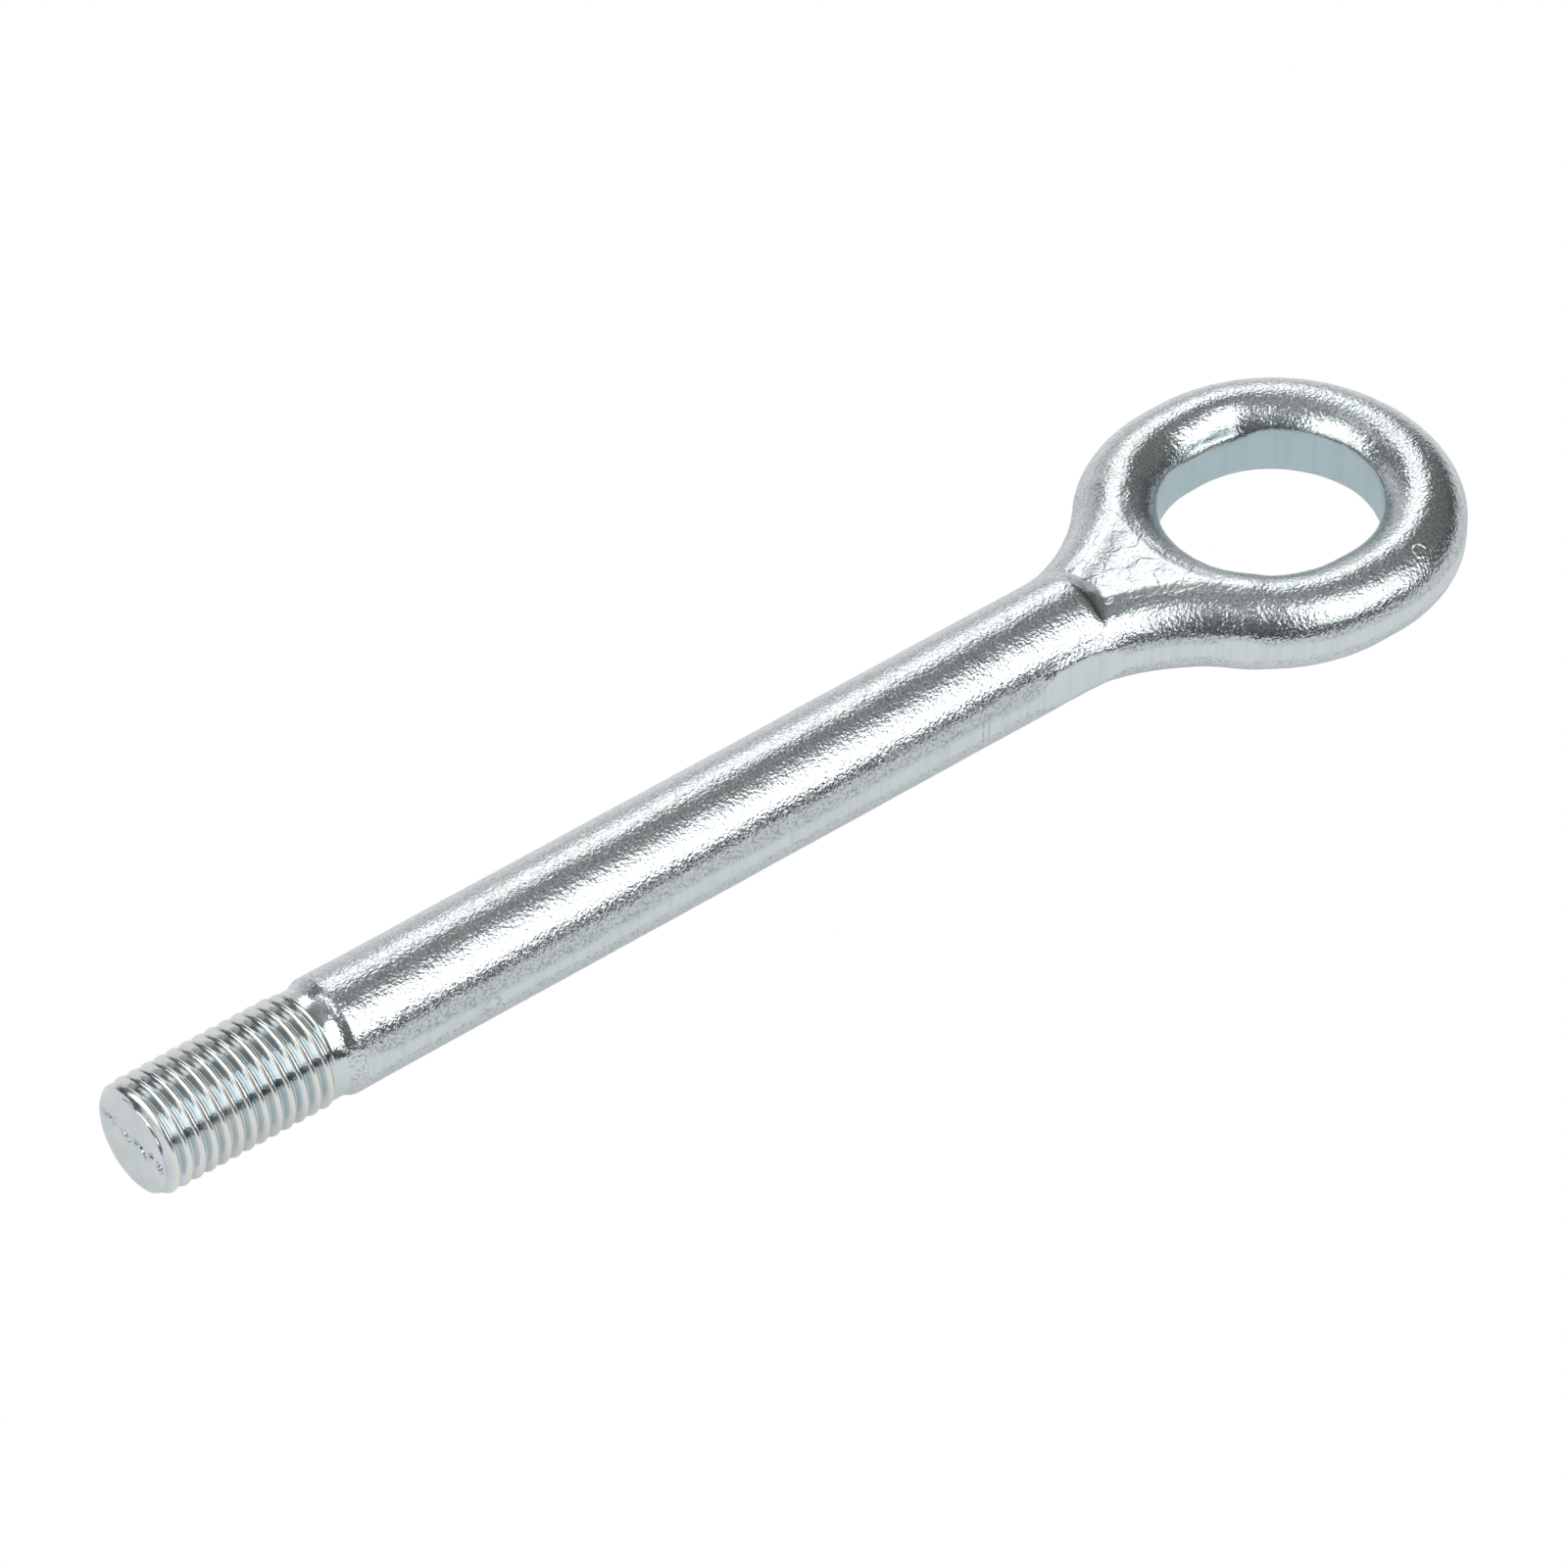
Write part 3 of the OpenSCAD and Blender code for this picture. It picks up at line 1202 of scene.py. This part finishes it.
@dataclass
class ZincGroups:
    """Node groups that the finishes share, each built once."""

    SPOT_EDGE = 0.12
    SPOT_NOISE = NoiseLayer(900.0, 2.0, sharp=(0.35, 0.6))

    seat: Seat
    made: dict[str, bpy.types.NodeTree] = field(default_factory=dict)

    def once(self, name: str, fill: Callable[[NodeDraft], Socket]) -> bpy.types.NodeTree:
        """Gives a group with one mask as its output, and builds it when it is first asked for.

        Args:
            name: Name of the group.
            fill: Adds the group's nodes and gives the mask.

        Returns:
            The group.
        """
        if name not in self.made:
            tree = bpy.data.node_groups.new(name, "ShaderNodeTree")
            tree.interface.new_socket("Mask", in_out="OUTPUT", socket_type="NodeSocketFloat")
            add = NodeDraft(tree)
            tree.links.new(fill(add), add("NodeGroupOutput").inputs["Mask"])
            self.made[name] = tree
        return self.made[name]

    def noise(self, add: NodeDraft, layer: NoiseLayer) -> Socket:
        """Adds one noise and gives it sharpened.

        Args:
            add: Adds the nodes.
            layer: The noise.

        Returns:
            The noise, from 0 to 1.
        """
        place = add("ShaderNodeTexCoord").outputs["Object"]
        spread = add.fed("ShaderNodeMapping", place, {"Scale": (1.0, 1.0, layer.upright)})
        noise = add.fed("ShaderNodeTexNoise", spread, {
            "Scale": layer.scale, "Detail": layer.detail, "Roughness": layer.roughness,
            "Distortion": layer.distortion})
        return add.sharpen(noise, *layer.sharp)

    def effect(self, effect: Effect) -> bpy.types.NodeTree:
        """Gives the group of one effect.

        Args:
            effect: The effect.

        Returns:
            The group.
        """
        def fill(add: NodeDraft) -> Socket:
            """Adds up the noises of the effect.

            Args:
                add: Adds the nodes.

            Returns:
                The mask.
            """
            total = add("ShaderNodeValue").outputs[0]
            total.default_value = 0.0
            for layer in effect.value:
                total = add.plus(total, self.noise(add, layer), layer.share)
            return total
        return self.once(effect.name.lower(), fill)

    def oval_marks(self) -> bpy.types.NodeTree:
        """Gives the group of the oval marks that can be seen on the part.

        Returns:
            The group.
        """
        def fill(add: NodeDraft) -> Socket:
            """Lays out each mark and breaks its outline up.

            Args:
                add: Adds the nodes.

            Returns:
                The mask.
            """
            place = add("ShaderNodeTexCoord").outputs["Object"]
            total = add("ShaderNodeValue").outputs[0]
            total.default_value = 0.0
            for mark in OVAL_MARKS:
                inside = add("ShaderNodeMapping", {
                    "Location": self.seat.place(*mark.centre),
                    "Rotation": (0.0, 0.0, math.radians(mark.turn)),
                    "Scale": tuple(size * MM for size in mark.half_sizes)})
                inside.vector_type = "TEXTURE"
                add.tree.links.new(place, inside.inputs["Vector"])
                length = add("ShaderNodeVectorMath")
                length.operation = "LENGTH"
                add.tree.links.new(inside.outputs["Vector"], length.inputs[0])
                off = add.math("ABSOLUTE", add.math("SUBTRACT", length.outputs["Value"], mark.line), 0.0)
                ring = add.sharpen(off, 1 - mark.line + self.SPOT_EDGE, 0.0)
                total = add.math("MAXIMUM", total, ring)
            return add.math("MULTIPLY", total, self.noise(add, self.SPOT_NOISE))
        return self.once("oval_marks", fill)


@dataclass
class Coat:
    """One material of the plated steel, while its nodes are laid."""

    finish: PlatedFinish
    groups: ZincGroups

    def __post_init__(self) -> None:
        """Starts the material."""
        self.material = bpy.data.materials.new(self.finish.name)
        self.material.use_nodes = True
        self.add = NodeDraft(self.material.node_tree)

    def mask(self, tree: bpy.types.NodeTree) -> Socket:
        """Places a shared group and gives its mask.

        Args:
            tree: The group.

        Returns:
            The mask.
        """
        node = self.add("ShaderNodeGroup")
        node.node_tree = tree
        return node.outputs["Mask"]

    def effect(self, effect: Effect) -> Socket:
        """Places a shared effect and gives its mask."""
        return self.mask(self.groups.effect(effect))

    def close(self, colour: Socket, rough: Socket, height: Socket) -> bpy.types.Material:
        """Joins what was laid to the shader.

        Args:
            colour: Colour of the metal.
            rough: Its roughness.
            height: Its fine relief, from 0 to 1.

        Returns:
            The finished material.
        """
        links = self.material.node_tree.links
        shader = self.material.node_tree.nodes["Principled BSDF"]
        shader.inputs["Metallic"].default_value = 1.0
        bump = self.add("ShaderNodeBump", {"Strength": 1.0, "Distance": self.finish.relief * MM})
        links.new(height, bump.inputs["Height"])
        normal = bump.outputs["Normal"]
        for source, label in ((colour, "Base Color"), (rough, "Roughness"), (normal, "Normal")):
            links.new(source, shader.inputs[label])
        return self.material


@dataclass
class Plating:
    """Builds the materials of the plated steel."""

    FORGED = PlatedFinish("forged_zinc", Tint.SKIN, Tint.SPECK, (0.13, 0.20), 0.16)
    MACHINED = PlatedFinish("machined_zinc", Tint.CLEAR, Tint.BLUE, (0.12, 0.20), 0.03)

    # Shares of the tints on the forged skin
    SPECK_SHARES = (0.1, 0.8)
    # Shares of the painted shade on the flanks, set by the specks
    MATT_SHARES = (0.28, 0.66)
    STAIN_SHARE = 0.55
    FLAT_SHARE = 0.4
    # Share of the painted shade in the crease
    CREASE_SHARE = 0.85
    STREAK_SHARES = (-0.45, 0.55)
    SPOT_SHARE = 0.45

    # What lands, web and spots add to its roughness
    LAND_ROUGH = 0.12
    FLAT_ROUGH = 0.07
    SPOT_ROUGH = 0.10

    # Heights of its relief, as parts of the finish's own
    PEEL_HEIGHTS = (0.05, 1.0)
    FLAKE_HEIGHT = 0.34
    STREAK_HEIGHT = 0.25
    SPOT_HEIGHT = 0.9

    # Shares on the turned end
    STRAW_SHARE = 0.7
    CLEAR_SHARE = 0.5
    TORN_SHARE = 0.5
    CREST_ROUGH = 0.03

    groups: ZincGroups

    def forged(self) -> bpy.types.Material:
        """The forged skin with its trimmed lands.

        Returns:
            The material.
        """
        coat = Coat(self.FORGED, self.groups)
        add = coat.add
        land, grain, dull = (add.attribute(name) for name in ("land", "grain", "dull"))
        flat, crease, bore = (add.attribute(name) for name in ("flat", "crease", "bore"))
        specks = coat.effect(Effect.SPECKS)
        streaks = coat.effect(Effect.STREAKS)
        spots = coat.mask(self.groups.oval_marks())
        speckled = add.math("MULTIPLY", specks, add.blend(grain, *self.SPECK_SHARES))
        skin = add.mix(speckled, coat.finish.tint.value, coat.finish.second.value)
        # Painted shade: speckled slate on the flanks beside the parting plane
        matt = add.math("MULTIPLY", dull, add.blend(specks, *self.MATT_SHARES))
        skin = add.mix(matt, skin, Tint.SLATE.value)
        skin = add.tinted(skin, coat.effect(Effect.STAINS), self.STAIN_SHARE, Tint.STAIN)
        # Lighter tint on the flat web: the pressed scale's paler tone and a painted highlight
        skin = add.tinted(skin, flat, self.FLAT_SHARE, Tint.CLEAR)
        # Painted shade, dark brown, in the crease at the shank's crown
        skin = add.tinted(skin, crease, self.CREASE_SHARE, Tint.SCALE)
        # The walls inside the hole take painted shade, darker and bluer than the outer land
        trimmed = add.mix(bore, Tint.LAND.value, Tint.BORE.value)
        trimmed = add.mix(add.blend(streaks, *self.STREAK_SHARES), trimmed, Tint.SPECK.value)
        colour = add.tinted(add.mix(land, skin, trimmed), spots, self.SPOT_SHARE, Tint.RUST)
        rough = add.blend(coat.effect(Effect.PATCHES), *coat.finish.rough)
        for mask, share in ((land, self.LAND_ROUGH), (flat, self.FLAT_ROUGH), (spots, self.SPOT_ROUGH)):
            rough = add.plus(rough, mask, share)
        height = add.math("MULTIPLY", coat.effect(Effect.PEEL), add.blend(grain, *self.PEEL_HEIGHTS))
        flakes = add.math("MULTIPLY", coat.effect(Effect.FLAKES), flat)
        height = add.plus(height, flakes, self.FLAKE_HEIGHT)
        height = add.plus(height, add.math("MULTIPLY", streaks, land), self.STREAK_HEIGHT)
        height = add.plus(height, spots, self.SPOT_HEIGHT)
        return coat.close(colour, rough, height)

    def machined(self) -> bpy.types.Material:
        """The bright thread, neck and shoulder.

        Returns:
            The material.
        """
        coat = Coat(self.MACHINED, self.groups)
        add = coat.add
        tint, second = coat.finish.tint.value, coat.finish.second.value
        groove = add.attribute("groove")
        patches = coat.effect(Effect.TURNED_PATCHES)
        straw = add.math("MULTIPLY", coat.effect(Effect.CREST_PATCHES), self.STRAW_SHARE)
        crest = add.mix(straw, tint, Tint.STRAW.value)
        # Painted shade in the roots, broken by lighter patches
        root = add.mix(add.math("MULTIPLY", patches, self.CLEAR_SHARE), second, tint)
        colour = add.mix(groove, crest, root)
        colour = add.tinted(colour, add.attribute("scar"), self.TORN_SHARE, Tint.SLATE)
        rough = add.blend(patches, *coat.finish.rough)
        rough = add.math("ADD", rough, add.blend(groove, self.CREST_ROUGH, 0.0))
        return coat.close(colour, rough, coat.effect(Effect.PEEL))


@dataclass
class TowEye:
    """The whole forging as one closed piece."""

    # Where the forged body starts, how far before it the turned end stops, and where the skin starts
    JOIN = 31.2
    JOIN_GAP = 0.35
    SKIN_PAST_THREAD = 0.7

    sizes: EyeSizes
    seat: Seat
    plating: Plating

    def build(self) -> bpy.types.Object:
        """Builds the forged body and the turned end, and joins them.

        Returns:
            The finished piece.
        """
        body = ForgedBody(self.sizes, self.seat)
        net = body.even_copy()
        body.shape(net)
        open_body = body.cut_shoulder(net, self.JOIN)
        end = TurnedEnd(self.sizes, self.seat)
        turned = bmesh.new()
        end.wind(turned)
        end.trim_ends(turned)
        end.turn_down(turned)
        end.turn_shoulder(turned, self.JOIN - self.JOIN_GAP)
        end.close_tip(turned)
        LOG.info("turned end: %d faces", len(turned.faces))
        keep = bpy.data.meshes.new("turned")
        turned.to_mesh(keep)
        turned.free()
        net.from_mesh(keep)
        bpy.data.meshes.remove(keep)
        open_turned = [e for e in net.edges if e.is_boundary and e not in set(open_body)]
        bmesh.ops.bridge_loops(net, edges=[*open_body, *open_turned])
        skin_start = self.seat.place(self.sizes.thread_len + self.SKIN_PAST_THREAD).x
        for face in net.faces:
            face.smooth = True
            face.material_index = 0 if face.calc_center_median().x > skin_start else 1
        bmesh.ops.recalc_face_normals(net, faces=net.faces)
        body.mark_surface(net)
        end.mark_groove(net)
        LOG.info("open edges: %d", sum(1 for e in net.edges if not e.is_manifold))
        return stand(PIECE, net, self.plating.forged(), self.plating.machined())

    def dress(self, piece: bpy.types.Object) -> None:
        """Says what the piece stands for.

        Args:
            piece: The finished piece.
        """
        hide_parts(NODE)
        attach(piece, "root")


@dataclass(frozen=True)
class LightWall:
    """One upright soft light, as tall and wide as the wall of a photographer's tent.

    Args:
        name: Name of the light.
        facing: Direction it stands in, in degrees from +X towards +Y.
        distance: How far its plane is from the part, in metres.
        reach: Its two ends, measured along it from the point nearest the part, in metres.
        height: Its lower and upper edge over the floor, in metres.
        glow: How bright its surface is.
        tilt: How far it leans to one side in its own plane, in degrees.
    """

    name: str
    facing: float
    distance: float
    reach: tuple[float, float]
    height: tuple[float, float]
    glow: float
    tilt: float = 0.0


@dataclass
class Studio:
    """Floor, lights and camera."""

    seat: Seat

    # Camera as fitted to the part's outline: turn, height, distance and aim in degrees and millimetres
    azimuth: float = 38.85
    elevation: float = 42.608
    distance: float = 1323.1
    focal_px: float = 10404.0
    frame_px: float = 1600.0
    aim_x: float = 105.2
    aside_px: tuple[float, float] = (2.967, 0.984)
    sensor: float = 36.0
    clip: tuple[float, float] = (0.05, 30.0)

    # Floor, and the card behind the part
    floor_size: float = 8.0
    floor_shade: Shade = (0.80, 0.80, 0.81)
    floor_glow: float = 0.22
    floor_rough: float = 0.9
    card_shade: Shade = (0.1, 0.1, 0.1)
    card_light: Shade = (0.98, 0.97, 1.0)
    card_glow: float = 0.55
    card_sizes: tuple[float, float] = (3.2, 0.62)
    card_middle: tuple[float, float, float] = (1.0, 1.3, 0.31)

    # Dim surroundings: their shades, the heights where one gives way to the next, and soft folds
    low_shade: Shade = (0.05, 0.055, 0.06)
    side_shade: Shade = (0.18, 0.185, 0.18)
    top_shade: Shade = (0.33, 0.34, 0.34)
    side_heights: tuple[float, float] = (0.12, 0.35)
    top_heights: tuple[float, float] = (0.70, 0.92)
    fold_scale: float = 16.0
    fold_strengths: tuple[float, float] = (-0.9, 2.9)
    walls: tuple[LightWall, ...] = (
        LightWall("near_wall", -90, 1.2, (-0.16, 1.62), (0.42, 4.2), 1.75, -2),
        LightWall("far_wall", 90, 1.2, (0.36, 1.54), (0.66, 2.0), 1.45),
        LightWall("far_top", 90, 1.2, (-1.1, 0.5), (1.75, 2.7), 0.6),
        LightWall("left_wall", 180, 1.2, (-0.52, 1.2), (0.45, 2.65), 1.6),
        LightWall("low_wall", 180, 1.2, (-0.66, 0.34), (0.04, 0.44), 0.7),
    )

    def set_camera(self) -> None:
        """Makes the camera that looks as the photograph does."""
        a = math.radians(self.azimuth)
        e = math.radians(self.elevation)
        back = Vector((-math.sin(a) * math.cos(e), -math.cos(a) * math.cos(e), math.sin(e)))
        right = Vector((math.cos(a), -math.sin(a), 0))
        data = bpy.data.cameras.new("camera")
        data.sensor_width = self.sensor
        data.lens = self.focal_px / self.frame_px * self.sensor
        data.clip_start, data.clip_end = self.clip
        camera = bpy.data.objects.new("camera", data)
        per_px = self.distance / self.focal_px * MM
        aside, below = self.aside_px
        camera.location = (self.seat.place(self.aim_x) + back * self.distance * MM
                           - right * aside * per_px + back.cross(right) * below * per_px)
        camera.rotation_mode = "QUATERNION"
        camera.rotation_quaternion = back.to_track_quat("Z", "Y")
        bpy.context.scene.collection.objects.link(camera)
        bpy.context.scene.camera = camera

    def glowing(self, name: str, shade: Shade, light: Shade, glow: float) -> bpy.types.Material:
        """Makes a plain studio material that glows a little.

        Args:
            name: Name of the material.
            shade: Its own colour.
            light: Colour of its glow.
            glow: Strength of its glow.

        Returns:
            The material.
        """
        material = bpy.data.materials.new(name)
        material.use_nodes = True
        shader = material.node_tree.nodes["Principled BSDF"]
        shader.inputs["Base Color"].default_value = (*shade, 1)
        shader.inputs["Emission Color"].default_value = (*light, 1)
        shader.inputs["Emission Strength"].default_value = glow
        return material

    def lay_floor(self) -> None:
        """Lays the plain pale floor, which is plain white where the camera sees it."""
        net = bmesh.new()
        bmesh.ops.create_grid(net, x_segments=1, y_segments=1, size=self.floor_size)
        material = self.glowing("pale_floor", self.floor_shade, WHITE, self.floor_glow)
        tree = material.node_tree
        add = NodeDraft(tree)
        shader = tree.nodes["Principled BSDF"]
        shader.inputs["Roughness"].default_value = self.floor_rough
        glow = add("ShaderNodeEmission", {"Color": (*WHITE, 1), "Strength": 1.0})
        both = add("ShaderNodeMixShader")
        sources = (add("ShaderNodeLightPath").outputs["Is Camera Ray"], shader.outputs["BSDF"],
                   glow.outputs["Emission"])
        for source, socket in zip(sources, both.inputs):
            tree.links.new(source, socket)
        tree.links.new(both.outputs["Shader"], tree.nodes["Material Output"].inputs["Surface"])
        stand("floor", net, material)

    def stand_card(self) -> None:
        """Stands a pale card behind the part, which only its far side's reflections show."""
        net = bmesh.new()
        bmesh.ops.create_grid(net, x_segments=1, y_segments=1, size=0.5)
        bmesh.ops.scale(net, verts=net.verts, vec=(*self.card_sizes, 1))
        bmesh.ops.rotate(net, verts=net.verts, cent=(0, 0, 0), matrix=Matrix.Rotation(math.pi / 2, 3, "X"))
        bmesh.ops.translate(net, verts=net.verts, vec=self.card_middle)
        card = stand("card", net, self.glowing("pale_card", self.card_shade, self.card_light, self.card_glow))
        card.visible_camera = False

    def hang_lights(self) -> None:
        """Hangs the soft walls round the part."""
        middle = self.seat.place(self.aim_x)
        for wall in self.walls:
            width = wall.reach[1] - wall.reach[0]
            height = wall.height[1] - wall.height[0]
            data = bpy.data.lights.new(wall.name, "AREA")
            data.shape = "RECTANGLE"
            data.size = width
            data.size_y = height
            data.energy = wall.glow * math.pi * width * height
            light = bpy.data.objects.new(wall.name, data)
            a = math.radians(wall.facing)
            out = Vector((math.cos(a), math.sin(a), 0))
            along = Vector((abs(math.sin(a)), abs(math.cos(a)), 0))
            light.location = (middle + out * wall.distance + along * sum(wall.reach) / 2
                              + Vector((0, 0, sum(wall.height) / 2)))
            light.rotation_mode = "QUATERNION"
            light.rotation_quaternion = (Quaternion(out, math.radians(wall.tilt))
                                         @ out.to_track_quat("Z", "Y"))
            bpy.context.scene.collection.objects.link(light)

    def dim_surroundings(self) -> None:
        """Sets the dim surroundings, which get lighter towards the top."""
        world = bpy.data.worlds.new("surroundings")
        world.use_nodes = True
        tree = world.node_tree
        add = NodeDraft(tree)
        place = add("ShaderNodeTexCoord").outputs["Generated"]
        height = add("ShaderNodeSeparateXYZ")
        tree.links.new(place, height.inputs["Vector"])
        folds = add.fed("ShaderNodeTexNoise", place, {"Scale": self.fold_scale, "Detail": 2.0})
        fold = add.math("MAXIMUM", add.blend(folds, *self.fold_strengths), 0.0)
        sides = add.sharpen(height.outputs["Z"], *self.side_heights)
        rise = add.sharpen(height.outputs["Z"], *self.top_heights)
        shade = add.mix(sides, self.low_shade, self.side_shade)
        shade = add.mix(rise, shade, self.top_shade)
        background = tree.nodes["Background"]
        tree.links.new(shade, background.inputs["Color"])
        tree.links.new(fold, background.inputs["Strength"])
        bpy.context.scene.world = world

    def tone(self) -> None:
        """Keeps the picture's tones plain."""
        bpy.context.scene.view_settings.view_transform = "Standard"


def main() -> None:
    """Builds the piece and the studio in order."""
    logging.basicConfig(level=logging.INFO, format="%(name)s: %(message)s")
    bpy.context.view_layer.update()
    seat = Seat()
    studio = Studio(seat)
    studio.set_camera()
    eye = TowEye(EyeSizes(), seat, Plating(ZincGroups(seat)))
    piece = eye.build()
    eye.dress(piece)
    LOG.info("%s: %d faces", piece.name, len(piece.data.polygons))
    studio.lay_floor()
    studio.stand_card()
    studio.hang_lights()
    studio.dim_surroundings()
    studio.tone()


if __name__ == "__main__":
    main()
